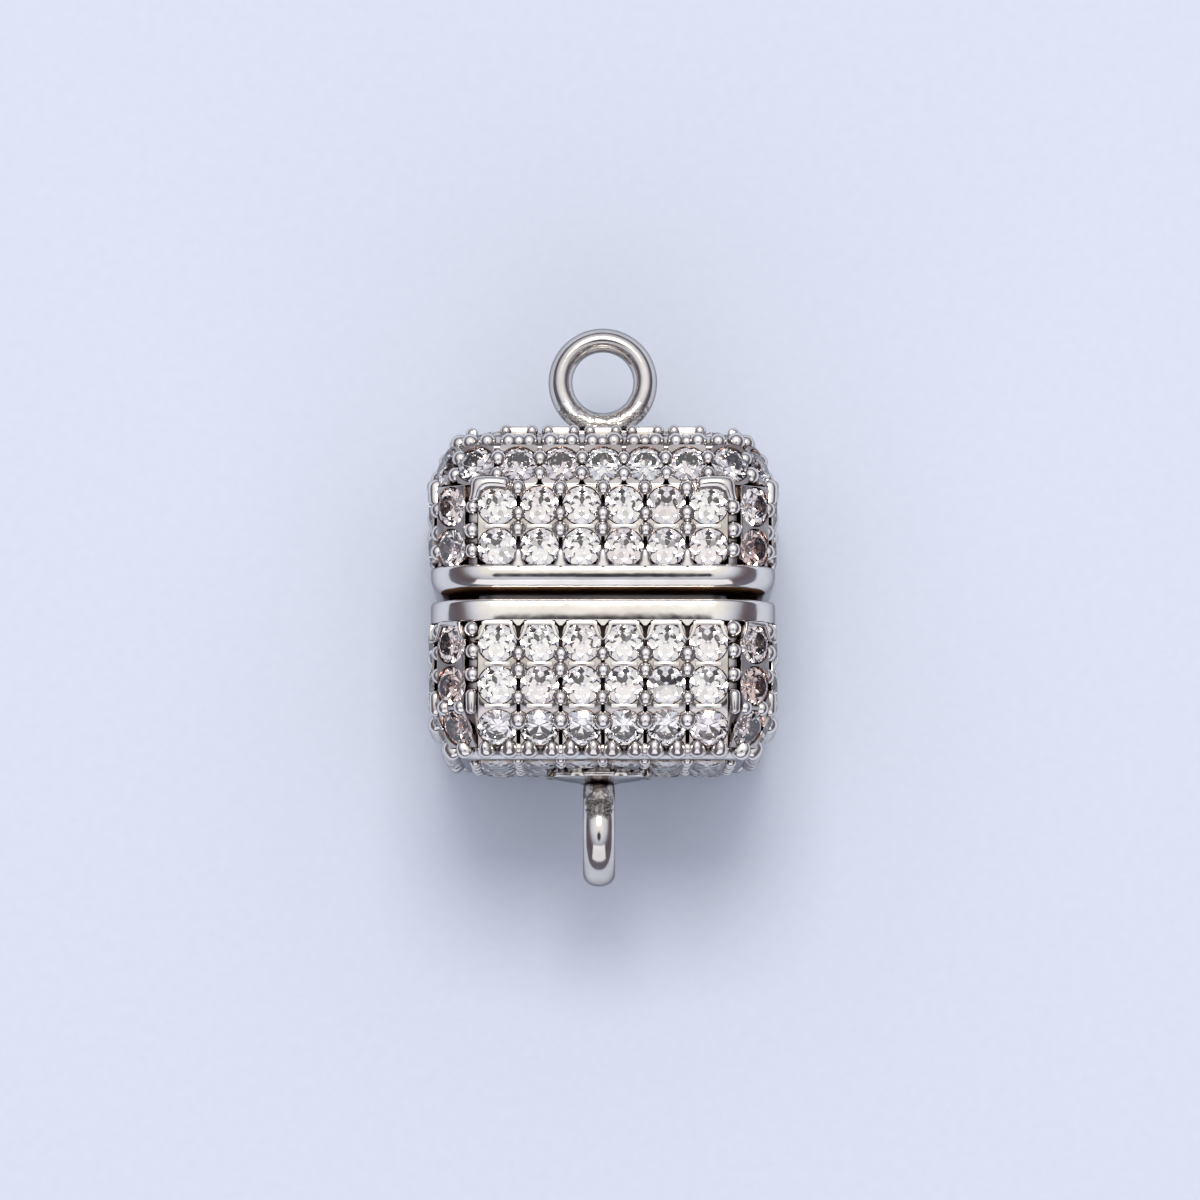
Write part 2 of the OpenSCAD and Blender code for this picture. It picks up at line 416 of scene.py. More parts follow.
# %% [markdown]
# The solder
#
# Where a loop is soldered on, the solder has set in crinkles. They could be modelled, but they are
# finer than a hair, so they are a bump that fades out along the loop.

# %% Crinkled solder
SOLDER_FADES, SOLDER_ENDS = 0.0060, 0.0064      # metres from the seam
CRINKLES, CRINKLE_DEPTH = 3600, 0.0001


def roughen_solder(material):
    """Crinkles the solder up to a distance from the seam, on top of the finish's own bump."""
    nodes, links = material.node_tree.nodes, material.node_tree.links
    coords = nodes.new("ShaderNodeTexCoord")
    split = nodes.new("ShaderNodeSeparateXYZ")
    away = nodes.new("ShaderNodeMath")
    away.operation = "ABSOLUTE"
    fade = nodes.new("ShaderNodeMapRange")
    for socket, value in (("From Min", SOLDER_FADES), ("From Max", SOLDER_ENDS),
                          ("To Min", 1), ("To Max", 0)):
        fade.inputs[socket].default_value = value
    height = nodes.new("ShaderNodeMath")
    height.operation = "MULTIPLY"
    links.new(coords.outputs["Object"], split.inputs["Vector"])
    links.new(split.outputs["Y"], away.inputs[0])
    links.new(away.outputs["Value"], fade.inputs["Value"])
    links.new(fade.outputs["Result"], height.inputs[0])
    links.new(noise(nodes, links, CRINKLES, 2), height.inputs[1])
    add_bump(nodes, links, nodes["Principled BSDF"], height.outputs["Value"], 1, CRINKLE_DEPTH)


roughen_solder(ring_metal)
print("solder crinkled to", round(SOLDER_ENDS / MM, 1), "mm from the seam")

# %% [markdown]
# The stones
#
# The stones are clear zirconia, with a refractive index of a little over 2.1. Small stones are never
# all the same. Each could have its own material, but one is enough: each stone's faces carry a
# number, and the shader turns it into a faint tint. The brown end of that ramp is a painted
# reflection of the dark slots, for the stones that face a corner.

# %% Stones
# The last, brown stop is a painted reflection of the dark slots.
TINTS_AND_REFLECTION = [(0.0, (1.0, 0.985, 0.97)), (0.5, (1.0, 0.965, 0.955)), (0.8, (0.97, 0.90, 0.89)),
         (1.0, (0.80, 0.58, 0.52))]
TINT_AND_REFLECTION_NAME = "stone_tint_and_reflection"

gem, nodes, links, shader = new_material("zirconia")
shader.inputs["Transmission Weight"].default_value = 1
shader.inputs["Roughness"].default_value = 0.0
shader.inputs["IOR"].default_value = 2.1
attribute = nodes.new("ShaderNodeAttribute")
attribute.attribute_name = TINT_AND_REFLECTION_NAME
links.new(ramp(nodes, links, attribute.outputs["Fac"], TINTS_AND_REFLECTION), shader.inputs["Base Color"])
print("stones:", gem.name, "in", len(TINTS_AND_REFLECTION), "tints")

# %% [markdown]
# The sizes of the clasp
#
# The outside is a rounded square. Going away from the seam there is a plain rim, a wall for two rows
# of stones, a sloped edge for the third row, a small bevel and the flat end. The numbers are the
# real model's, in millimetres from the middle of the seam, so the pieces made here fit it.

# %% Sizes in millimetres
WALL = 5.2                  # half width over the wall
CORNER_R = 1.9
FLAT = WALL - CORNER_R      # half the straight part of a side
SEAM = 0.1                  # half the gap between the halves
RIM_HALF = 5.34
RIM_END = {"lower": 0.79, "upper": 0.99}
WALL_END = 3.42
SLOPE = math.radians(24)
SLOPE_LEN = 1.35
SLOPE_END = WALL_END + SLOPE_LEN * math.cos(SLOPE)
SLOPE_HALF = WALL - SLOPE_LEN * math.sin(SLOPE)
BEVEL = 0.35
END = SLOPE_END + BEVEL
END_HALF = SLOPE_HALF - BEVEL
FIELD_HALF = 3.9            # half width of the field of stones on the end

PITCH = 1.3                 # from stone to stone
ROWS = [1.47, 2.77]
BETWEEN_ROWS = sum(ROWS) / 2
SLOPE_ROW = WALL_END + SLOPE_LEN / 2 * math.cos(SLOPE)
STONE_R = 0.595
SEAT_R = 0.6
SEAT_TOP_R = 0.63
SEAT_DEPTH = 0.56

STRIP_WIDTH = 1.2
STRIP_RISE = 0.09           # how far a strip stands out of the wall
CORE_DEPTH = 0.62           # how deep it goes in
SUNK = 0.1                  # how deep small trim starts in the metal under it
SOFT_EDGE = 0.03            # what the polishing takes off a small edge
print("end face at", round(END, 3), "mm, half width", round(END_HALF, 3))

# %% [markdown]
# Places on the wall
#
# A stone sits with its table facing out of the metal. On the flats that is straight out, round a
# corner it turns, and on the sloped edge it leans. `on_wall` gives the matrix for a place: `track`
# is how far round the outline it is from the middle of a side, `along` how far from the seam. In
# that place +Z points out of the metal and +X towards the rim.

# %% Places round the outline
SIDES = range(4)


def to_side(side):
    """Turns what is made on the first side round to another one."""
    return Matrix.Rotation(math.radians(90 * side), 4, "Z")


def on_outline(side, track, corner_r, along):
    """The place at a track round a rounded square whose corners have this radius."""
    on_flat = max(-FLAT, min(FLAT, track))
    return (to_side(side)
            @ Matrix.Translation((FLAT, on_flat, 0))
            @ Matrix.Rotation((track - on_flat) / corner_r, 4, "Z")
            @ Matrix.Translation((corner_r, 0, along)))


def half_at(along):
    return WALL if along <= WALL_END else WALL - (along - WALL_END) * math.tan(SLOPE)


def on_wall(side, track, along):
    lean = SLOPE if along > WALL_END else 0
    return (on_outline(side, track, half_at(along) - FLAT, along)
            @ Matrix.Rotation(math.radians(90) - lean, 4, "Y"))


def corner_track(along, degrees=45.0):
    """The track of a point round the corner, by its turn from the flat."""
    return FLAT + (half_at(along) - FLAT) * math.radians(degrees)


def centred(count):
    return [(i - (count - 1) / 2) * PITCH for i in range(count)]


COLUMNS = centred(6)
GAPS = centred(5)
BESIDE_CORNER = (corner_track(WALL_END) + COLUMNS[-1]) / 2
print("columns at", [round(track, 2) for track in COLUMNS], "mm, posts at", round(BESIDE_CORNER, 2))

# %% [markdown]
# Rows and columns
#
# Nearly all that repeats stands in rows and columns, on each of the four sides. What stands on the
# wall is modelled at the origin and goes to a place on it. What belongs to the shape of a whole
# side is modelled on the first side, and is only shifted along it and turned to the others.

# %% Places of copies
def side_places(side, tracks, distances):
    return [on_wall(side, track, along) for track in tracks for along in distances]


def wall_places(tracks, distances):
    """The same places on all four sides."""
    return [spot for side in SIDES for spot in side_places(side, tracks, distances)]


def shifted(tracks):
    """For what is made on the first side: shifts along each side."""
    return [to_side(side) @ Matrix.Translation((0, track, 0)) for side in SIDES for track in tracks]


def turned(turns):
    """For what is made on the first side: turns about each corner's middle, in degrees."""
    return [to_side(side) @ Matrix.Translation((FLAT, FLAT, 0))
            @ Matrix.Rotation(math.radians(degrees), 4, "Z") @ Matrix.Translation((-FLAT, 0, 0))
            for side in SIDES for degrees in turns]


# %% [markdown]
# Where the stones are
#
# On the lower half the third row lines up with the two on the wall. On the upper half it is shifted
# by half a pitch, with two stones at each corner. The ends carry a square field of stones, left
# open in the middle where the round plate is.

# %% Places of the stones
CORNER_PAIR = 22            # degrees round the corner


def slope_places():
    """Five stones on the upper half's slope on each side, shifted half a pitch."""
    return wall_places(GAPS, [SLOPE_ROW])


def corner_pair_places():
    """Two more stones on that slope at each corner."""
    track = corner_track(SLOPE_ROW, CORNER_PAIR)
    return wall_places([-track, track], [SLOPE_ROW])


def end_places():
    return [Matrix.Translation((x, y, END)) for x in COLUMNS for y in COLUMNS
            if math.hypot(x, y) > PITCH]


def stone_places(half):
    """Every stone of one half: wall rows, slope row and the field on the end."""
    places = []
    for side in SIDES:
        for row in ROWS if half == "upper" else ROWS + [SLOPE_ROW]:
            places += side_places(side, COLUMNS + [corner_track(row)], [row])
    if half == "upper":
        places += slope_places() + corner_pair_places()
    return places + end_places()


print(len(stone_places("lower")), "and", len(stone_places("upper")), "stones")

# %% [markdown]
# Cutting a brilliant
#
# The stones are round brilliants. A cutter starts from a small drum of rough and grinds one flat
# facet after another: eight mains and sixteen girdle facets below, then the table, eight mains,
# sixteen girdle facets and eight stars above. The stone could be built corner by corner, but the
# bisect operator grinds as the cutter does: it cuts the drum with a plane and fills the cut. One
# stone is cut and the rest are copies.

# %% Grind the facets
CROWN = 0.19
PAVILION = 0.5
GIRDLE_BAND = 0.03
TABLE_R = 0.345
GIRDLE_SHARE = 0.985        # the girdle facets cut a little inside the round
DRUM_SIDES = 16
DRUM_DEPTH = 1.4


def sine(degrees):
    return math.sin(math.radians(degrees))


def cosine(degrees):
    return math.cos(math.radians(degrees))


def grind(angle, turn, distance, up):
    """Cuts a facet whose normal leans from the axis by an angle, at a distance from the middle."""
    normal = Vector((sine(angle) * cosine(turn), sine(angle) * sine(turn), cosine(angle) * up))
    bpy.ops.mesh.select_all(action="SELECT")
    bpy.ops.mesh.bisect(plane_co=normal * distance, plane_no=normal, use_fill=True,
                        clear_outer=True, threshold=1e-5)


MAIN_BELOW = math.degrees(math.atan2(PAVILION, STONE_R))
GIRDLE_BELOW = MAIN_BELOW + 2.5
MAIN_ABOVE, GIRDLE_ABOVE, STAR = 33, 39, 21
FACETS = [
    # count, angle, distance from the middle, up or down, shift in steps
    (8, MAIN_BELOW, PAVILION * cosine(MAIN_BELOW), -1, 0.5),
    (16, GIRDLE_BELOW, STONE_R * sine(GIRDLE_BELOW) * GIRDLE_SHARE, -1, 0.5),
    (1, 0, CROWN, 1, 0),
    (8, MAIN_ABOVE, STONE_R * sine(MAIN_ABOVE) + GIRDLE_BAND, 1, 0.5),
    (16, GIRDLE_ABOVE, STONE_R * GIRDLE_SHARE * sine(GIRDLE_ABOVE) + GIRDLE_BAND, 1, 0.5),
    (8, STAR, CROWN * cosine(STAR) + TABLE_R * sine(STAR), 1, 0),
]


def cut_brilliant():
    stone = add(bpy.ops.mesh.primitive_cylinder_add, vertices=DRUM_SIDES, radius=STONE_R,
                depth=DRUM_DEPTH, rotation=(0, 0, math.radians(180 / DRUM_SIDES)))
    edit(stone)
    for count, angle, distance, up, shift in FACETS:
        for i in range(count):
            grind(angle, 360 * (i + shift) / count, distance, up)
    done()
    paint(stone, gem)
    return stone


keep_master("stone", cut_brilliant())

# %% [markdown]
# The metal round a stone
#
# In the real casting each column of stones sits in its own strip of metal, with a narrow dark slot
# to the next column. A strip is a block with the seats drilled in: straight where the girdle sits,
# then a cone that follows the stone's back. The block could be cut from the whole cup, but a strip
# modelled once and copied keeps its edges crisp and its mesh light.

# %% Drill for the seats
SEAT_BAND = 0.03            # straight part under the girdle
SEAT_TIP = 0.2              # width of the cone's tip, as a share
STRIP_EDGE = 0.035


def make_drill():
    """Cutter for one seat: it flares above the girdle, and below it is a cone."""
    reach = 2 * STRIP_RISE
    flare = SEAT_R + (SEAT_TOP_R - SEAT_R) * reach / STRIP_RISE
    drill = add(bpy.ops.mesh.primitive_cone_add, vertices=24, radius1=SEAT_R, radius2=flare,
                depth=reach, location=(0, 0, reach / 2))
    edit(drill)
    pick("faces", facing_down)
    extrude(0, 0, -SEAT_BAND)
    extrude(0, 0, -SEAT_DEPTH + SEAT_BAND)
    bpy.ops.transform.resize(value=(SEAT_TIP, SEAT_TIP, 1))
    done()
    paint(drill, cast_metal, seat_metal)
    for face in drill.data.polygons:
        face.material_index = 1
    return drill


def drilled(block, matrices):
    """Softens the block's edges and cuts a seat into it at each matrix."""
    soften(block, STRIP_EDGE)
    drill = make_drill()
    paint(block, cast_metal, seat_metal)
    cutter = copies(drill, matrices, "cutter")
    add_modifier(block, "BOOLEAN", object=cutter, operation="DIFFERENCE", solver="EXACT")
    throw_away(cutter, drill)
    smooth(block)
    add_modifier(block, "WEIGHTED_NORMAL", keep_sharp=True)
    return block


# %% [markdown]
# Strips and tiles
#
# A strip ends under the rim with its corners rounded off, which leaves a dark pocket on each side
# of the rim's fins or points. On the lower half it runs on over the sloped edge. The stones of the
# upper half's slope and of the ends don't line up with the columns, or turn with the corner, so
# they sit in single tiles. A tile could be a shorter strip, but a flat one fits any place.

# %% Strips and tiles
NOTCH = {"lower": 0.36, "upper": 0.3}
TUCKED_IN = 0.01
SLOPE_TILE = SLOPE_LEN + 0.08
TILE_CORNER, CORNER_TILE_CORNER = 0.12, 0.32


def run_up_slope():
    """Runs the top of a strip or a post on along the sloped edge."""
    pick("faces", facing_up)
    extrude(-math.sin(SLOPE) * SLOPE_LEN, 0, math.cos(SLOPE) * SLOPE_LEN)


def make_strip(half):
    """A strip of the wall on the first side, from the rim to the wall's end or the slope's."""
    start = RIM_END[half] - TUCKED_IN
    strip = box(x=(WALL - CORE_DEPTH, WALL + STRIP_RISE), y=(-STRIP_WIDTH / 2, STRIP_WIDTH / 2),
                z=(start, WALL_END))
    rows = list(ROWS)
    edit(strip)
    if half == "lower":
        run_up_slope()
        rows.append(SLOPE_ROW)
    pick("edges", lambda middle, along: middle.z < start + HAIR and abs(along.x) > NEARLY)
    round_picked(NOTCH[half], 3)
    done()
    return drilled(strip, [on_wall(0, 0, row) for row in rows])


def make_tile(length, corner):
    """A block with one seat, its stone's girdle at the origin and +Z out of the metal."""
    tile = box(x=(-length / 2, length / 2), y=(-STRIP_WIDTH / 2, STRIP_WIDTH / 2),
               z=(-CORE_DEPTH, STRIP_RISE))
    edit(tile)
    pick("edges", lambda middle, along: abs(along.z) > NEARLY)
    round_picked(corner, 2)
    done()
    return drilled(tile, [Matrix.Identity(4)])


keep_master("lower_strip", make_strip("lower"))
keep_master("upper_strip", make_strip("upper"))
keep_master("tile", make_tile(STRIP_WIDTH, TILE_CORNER))
keep_master("slope_tile", make_tile(SLOPE_TILE, TILE_CORNER))
keep_master("corner_tile", make_tile(SLOPE_TILE, CORNER_TILE_CORNER))

# %% [markdown]
# The cup
#
# Behind the strips is one plain cup. It starts as a flat square whose corners are rounded, and grows
# by extruding and insetting its top face: an inset keeps the outline parallel, so the corners get
# tighter towards the end, as on the real casting. The rim stands proud of the strips' feet. Both
# its edges are rounded. On the lower half they are only broken, so its rim shows as one bright
# band. On the upper half they are rolled, which draws the dark line along its rim.

# %% Grow a cup
CAVITY_HALF = 3.9
CAVITY_END = 3.1
CUP_SUNK = CORE_DEPTH - 0.05
LIP = {"lower": 0.15, "upper": 0.55}
ROLL = {"lower": 0.05, "upper": 0.17}


def is_outside(point, half):
    """True for a point on or beyond the rounded square of this half width."""
    x, y = abs(point.x), abs(point.y)
    if max(x, y) > half:
        return True
    return x > FLAT and y > FLAT and math.hypot(x - FLAT, y - FLAT) > half - FLAT


def pick_outline(height, half):
    """Selects the edges round the outside of a rounded square at a height."""
    inner = half - 5 * HAIR
    pick("edges", lambda middle, along: abs(middle.z - height) < HAIR and is_outside(middle, inner))


def make_cup(half):
    rim_end = RIM_END[half]
    cup = add(bpy.ops.mesh.primitive_plane_add, size=2 * RIM_HALF, location=(0, 0, SEAM))
    edit(cup)
    bpy.ops.mesh.bevel(offset=RIM_HALF - FLAT, segments=10, affect="VERTICES")
    extrude(0, 0, rim_end - SEAM)
    inset(RIM_HALF - WALL + CUP_SUNK, 0)
    extrude(0, 0, WALL_END - rim_end)
    inset(WALL - SLOPE_HALF, SLOPE_END - WALL_END)
    inset(BEVEL, END - SLOPE_END - CUP_SUNK)
    pick("faces", lambda middle, normal: middle.z < SEAM + HAIR and abs(normal.z) > NEARLY)
    inset(RIM_HALF - CAVITY_HALF, 0)
    extrude(0, 0, CAVITY_END - SEAM)
    point_outwards()
    pick_outline(SEAM, RIM_HALF)
    round_picked(LIP[half], 5)
    pick_outline(rim_end, RIM_HALF)
    round_picked(ROLL[half], 4)
    done()
    smooth(cup, 40)
    paint(cup, metal, brass_and_gap_shade, slot_shade)
    # The recessed wall under the strips gets the painted slot shade.
    for face in cup.data.polygons:
        if face.center.z > rim_end - HAIR and not is_outside(face.center, WALL - SUNK):
            face.material_index = 2
    cup.name = cup.data.name = half + "_cup"
    return cup


# %% [markdown]
# The frame of the end
#
# A frame closes each end: it carries the edge's beads outside and the field of stones inside. It
# could be a part of the cup, but the strips' ends lie between the two. It grows from a plane as the
# cup does, so its corners stay parallel to the cup's.

# %% Frame of the end
FRAME_FOOT = 0.12
FRAME_DEPTH = 0.3
FRAME_EDGE = 0.13


def make_end_frame():
    end_frame = add(bpy.ops.mesh.primitive_plane_add, size=2 * SLOPE_HALF,
                    location=(0, 0, SLOPE_END - FRAME_FOOT))
    edit(end_frame)
    bpy.ops.mesh.bevel(offset=SLOPE_HALF - FLAT, segments=8, affect="VERTICES")
    extrude(0, 0, FRAME_FOOT)
    inset(BEVEL, BEVEL)
    inset(END_HALF - FIELD_HALF, 0)
    extrude(0, 0, -FRAME_DEPTH)
    pick_outline(END, END_HALF)
    round_picked(FRAME_EDGE, 4)
    point_outwards()
    done()
    soften(end_frame, SOFT_EDGE)
    smooth(end_frame)
    paint(end_frame, metal)
    return end_frame


# %% [markdown]
# Beads
#
# Prongs are raised from the metal and pushed over the stones, and their tips are rounded into beads.
# A bead is a small ball on a short neck. It could be a plain sphere, but without the neck it would
# seem to float over the slots. On the lower end's edge the prongs were bent over, so they are drops:
# pointed towards the seam and cut flat towards the end.

# %% Beads and drops
BALL = {"segments": 14, "ring_count": 9}
BEAD_NARROWED = 0.95
BEADS = {
    # name: radius, top above the metal
    "bead": (0.28, 0.26),
    "edge_bead": (0.29, 0.27),
    "saddle": (0.24, 0.20),
    "low_bead": (0.18, 0.18),
    "big_bead": (0.31, 0.42),
}
NECK = 0.3
NECK_FROM = 0.6             # as a share of the radius below the middle
DROP_R = 0.33
DROP_STEPS = [(0.1, 0.85), (0.22, 0.8)]     # from this distance on, this narrow
DROP_PULL = 0.03
DROP_FLAT, DROP_PUSH = 0.3, 0.06


def make_bead(radius, top):
    lift = top - radius
    bead = add(bpy.ops.mesh.primitive_uv_sphere_add, radius=radius, location=(0, 0, lift), **BALL)
    edit(bead)
    pick("faces", lambda middle, normal: middle.z < lift - radius * NECK_FROM)
    extrude(0, 0, -NECK)
    done()
    bpy.ops.object.shade_smooth()
    paint(bead, metal)
    return bead


def make_drop():
    """A prong bent over the edge: pointed towards the seam (+X) and cut flat towards the end."""
    drop = add(bpy.ops.mesh.primitive_uv_sphere_add, radius=DROP_R, **BALL)
    edit(drop)
    for beyond, width in DROP_STEPS:
        pick("verts", lambda point, normal: point.x > beyond)
        bpy.ops.transform.resize(value=(1, width, 1))
        bpy.ops.transform.translate(value=(DROP_PULL, 0, 0))
    pick("verts", lambda point, normal: point.x < -DROP_R / 2)
    bpy.ops.transform.resize(value=(DROP_FLAT, 1, 1))
    bpy.ops.transform.translate(value=(DROP_PUSH, 0, 0))
    done()
    bpy.ops.object.shade_smooth()
    paint(drop, metal)
    return drop


for name, (radius, top) in BEADS.items():
    keep_master(name, make_bead(radius, top))
place(masters["bead"], Matrix.Diagonal((1, BEAD_NARROWED, 1, 1)))
keep_master("drop", make_drop())

# %% [markdown]
# Where the beads are
#
# Beads stand in the gaps between the stones and beside the corner columns. On the upper half's slope
# they stand between its shifted stones too. Along the edge of the end they come in pairs, one pair
# for each gap, with a low saddle between the two. Smaller beads fill the field of the end.

# %% Places of the beads
BEAD_ROWS = {
    # half: in the gaps, beside the corners
    "lower": ([1.8, 2.3, 3.16], [1.03, 1.71, 2.42]),
    "upper": ([2.04, 2.53, 3.31], [1.40, 2.01, 2.72]),
}
SLOPE_BEADS = [3.76, 4.26]
CORNER_FOOT, FOOT_APART = 3.42, 0.36
FIELD_EDGE = 3.95
PLATE_CLEAR = 1.5           # no beads this near the middle of the end


def bead_places(half):
    """Beads on the wall and, on the upper half, on the slope."""
    in_gaps, beside_corners = BEAD_ROWS[half]
    places = []
    for side in SIDES:
        places += side_places(side, GAPS, in_gaps)
        places += side_places(side, [-BESIDE_CORNER, BESIDE_CORNER], beside_corners)
        if half == "upper":
            places += side_places(side, COLUMNS[1:-1] + [COLUMNS[0], COLUMNS[-1]], SLOPE_BEADS)
            places += [on_wall(side, corner_track(along), along) for along in SLOPE_BEADS]
        else:
            corner = corner_track(CORNER_FOOT)
            places += side_places(side, [corner - FOOT_APART, corner + FOOT_APART], [CORNER_FOOT])
    return places


def edge_places(tracks, back):
    """Along the edge of the end and on each corner, drawn back towards the seam by a length."""
    radius = (SLOPE_HALF + END_HALF) / 2 + back - FLAT
    along = (SLOPE_END + END) / 2 - back
    return [on_outline(side, track, radius, along) @ Matrix.Rotation(math.radians(45), 4, "Y")
            for side in SIDES for track in tracks + [FLAT + radius * math.pi / 4]]


def end_bead_places(half):
    """Beads between the stones of the end, and on the lower half a row of them round the field."""
    places = [Matrix.Translation((x, y, END)) for x in GAPS for y in GAPS
              if math.hypot(x, y) > PLATE_CLEAR]
    if half == "lower":
        places += [to_side(side) @ Matrix.Translation((FIELD_EDGE, track, END))
                   for side in SIDES for track in GAPS]
    return places


print(len(bead_places("lower")), "and", len(bead_places("upper")), "beads on the walls")

# %% [markdown]
# Posts and bars
#
# Beside each corner column an upright post fills the slot, and on the lower half a rounded bar
# lies on it. A bar could be a capsule from a modifier, but pulling one half of a sphere away from
# the other gives the same shape in one step.

# %% Posts and bars
BIG_BEADS, BARS = 3.80, 3.06        # from the seam
POST_WIDTH = 0.3
POST_TUCKED = 0.05
BAR_R, BAR_LEN = 0.2, 0.42
SMALL_BALL = {"segments": 12, "ring_count": 8}


def make_bar():
    """A rounded bar prong that lies along the post."""
    bar = add(bpy.ops.mesh.primitive_uv_sphere_add, radius=BAR_R, location=(0, 0, BAR_R / 2),
              **SMALL_BALL)
    edit(bar)
    pick("verts", lambda point, normal: point.x < -HAIR)
    bpy.ops.transform.translate(value=(-BAR_LEN, 0, 0))
    done()
    bpy.ops.object.shade_smooth()
    paint(bar, metal)
    return bar


def make_post(half):
    """A narrow upright in the slot beside a corner column, on the first side."""
    post = box(x=(WALL - CORE_DEPTH, WALL), y=(-POST_WIDTH / 2, POST_WIDTH / 2),
               z=(RIM_END[half] - POST_TUCKED, WALL_END))
    if half == "lower":
        edit(post)
        run_up_slope()
        done()
    soften(post, SOFT_EDGE)
    smooth(post)
    paint(post, cast_metal)
    return post


keep_master("bar", make_bar())
keep_master("lower_post", make_post("lower"))
keep_master("upper_post", make_post("upper"))

# %% [markdown]
# The upper rim's fins
#
# The upper rim runs out in pointed fins, one in each gap between two columns. They are cast with
# the rim, and could be pulled out of its mesh, but then every fin would be made anew. So a fin is a
# flattened cylinder that starts inside the rim. It is drawn up and narrowed step by step, and a
# subdivision surface rounds it.

# %% Fins
FIN_R, FIN_WIDENED = 0.16, 1.7
FIN_SINK, FIN_START = 0.012, 0.15
FIN_STEPS = [
    # rise, width, height
    (0.06, 0.88, 1), (0.05, 0.8, 1), (0.07, 0.95, 1), (0.12, 0.95, 1),
    (0.1, 0.85, 0.95), (0.08, 0.75, 0.85), (0.04, 0.4, 0.6)]


def make_fin():
    """A thorn, on the first side, level with the rim, that runs down between two stones."""
    fin = add(bpy.ops.mesh.primitive_cylinder_add, vertices=12, radius=FIN_R, depth=2 * SUNK,
              location=(WALL - FIN_SINK, 0, RIM_END["upper"] - FIN_START))
    edit(fin)
    bpy.ops.transform.resize(value=(1, FIN_WIDENED, 1))
    taper(FIN_STEPS)
    done()
    add_modifier(fin, "SUBSURF", levels=1)
    bpy.ops.object.shade_smooth()
    paint(fin, metal)
    return fin


keep_master("fin", make_fin())

# %% [markdown]
# The lower rim's arches
#
# The lower rim has an arch over each column's first stone, whose legs lean together into a V at the
# gap, and a short point of the rim in each V. An arch could be a curve with a thickness, but then
# its section would be round. So it is a bar whose ends are led down by extruding. Its edges are
# bevelled, and not subdivided, because its flat top has to catch the light.

# %% Arches and points
ARCH_HALF, ARCH_RISE, ARCH_BAND = 0.35, 0.17, 0.13
SHOULDER = (0.13, 0.03)             # outwards, down
LEG_STEPS = [(0.02, 0.07), (0.03, 0.1), (0.05, 0.12), (0.06, 0.1), (0.08, 0.05)]
POINT_HALF, POINT_RISE = 0.17, 0.13
POINT_STEPS = [(0.06, 0.7, 1), (0.08, 0.35, 1)]


def make_arch():
    """The lip over a column's first stone, on the first side: its legs meet the next arch in a V."""
    rim_end = RIM_END["lower"]
    arch = box(x=(WALL - SUNK, WALL + ARCH_RISE), y=(-ARCH_HALF, ARCH_HALF),
               z=(rim_end - HAIR, rim_end + ARCH_BAND))
    edit(arch)
    for side in (-1, 1):
        pick("faces", lambda middle, normal: (middle.y * side > ARCH_HALF - HAIR
                                              and normal.y * side > NEARLY))
        extrude(0, side * SHOULDER[0], SHOULDER[1])
        pick("faces", lambda middle, normal: (middle.y * side > ARCH_HALF + HAIR
                                              and facing_up(middle, normal)))
        for out, down in LEG_STEPS:
            extrude(0, side * out, down)
    done()
    soften(arch, 0.04, segments=3, angle=50)
    smooth(arch, 50)
    paint(arch, metal)
    return arch


def make_point():
    """The short point that the lower rim sends into each V, on the first side."""
    rim_end = RIM_END["lower"]
    point = box(x=(WALL - SUNK, WALL + POINT_RISE), y=(-POINT_HALF, POINT_HALF),
                z=(rim_end - SUNK, rim_end))
    edit(point)
    taper(POINT_STEPS)
    done()
    smooth(point, 60)
    paint(point, metal)
    return point


keep_master("arch", make_arch())
keep_master("point", make_point())

# %% [markdown]
# Bridges
#
# Between two stones of a column a thin bright bridge of metal is left. It could be cut into the
# strip, but as a bar with softened edges it catches the light along its whole length.

# %% Bridges
BRIDGE_HALF_WIDTH, BRIDGE_HALF_LEN, BRIDGE_RISE = 0.07, 0.4, 0.04


def make_bridge():
    """The thin bright bar left between two stones of a column."""
    bridge = box(x=(-BRIDGE_HALF_WIDTH, BRIDGE_HALF_WIDTH), y=(-BRIDGE_HALF_LEN, BRIDGE_HALF_LEN),
                 z=(-SUNK, STRIP_RISE + BRIDGE_RISE))
    soften(bridge, 0.025)
    smooth(bridge, 40)
    paint(bridge, metal)
    return bridge


keep_master("bridge", make_bridge())

# %% [markdown]
# Claws
#
# At the upper half's corners bent claws reach over the stones, one the mirror of the other. A claw
# is led out of a block in two arms by extruding, and a subdivision surface makes it soft. The
# second one could be modelled too, but mirroring is quicker. It turns a mesh inside out, so the
# normals are made consistent afterwards.

# %% Claws
CLAW_HALF, CLAW_ROOT, CLAW_TOP = 0.25, -0.4, 0.31
CLAW_DROOP = math.tan(math.radians(17))
LONG_ARM = [(0, -0.28), (0.02, -0.26), (0.04, -0.24)]
SHORT_ARM = [(0.2, 0.03), (0.2, 0.1)]
CLAW_TRACK, CLAW_ALONG, CLAW_SHIFT = 3.86, 3.41, -0.08


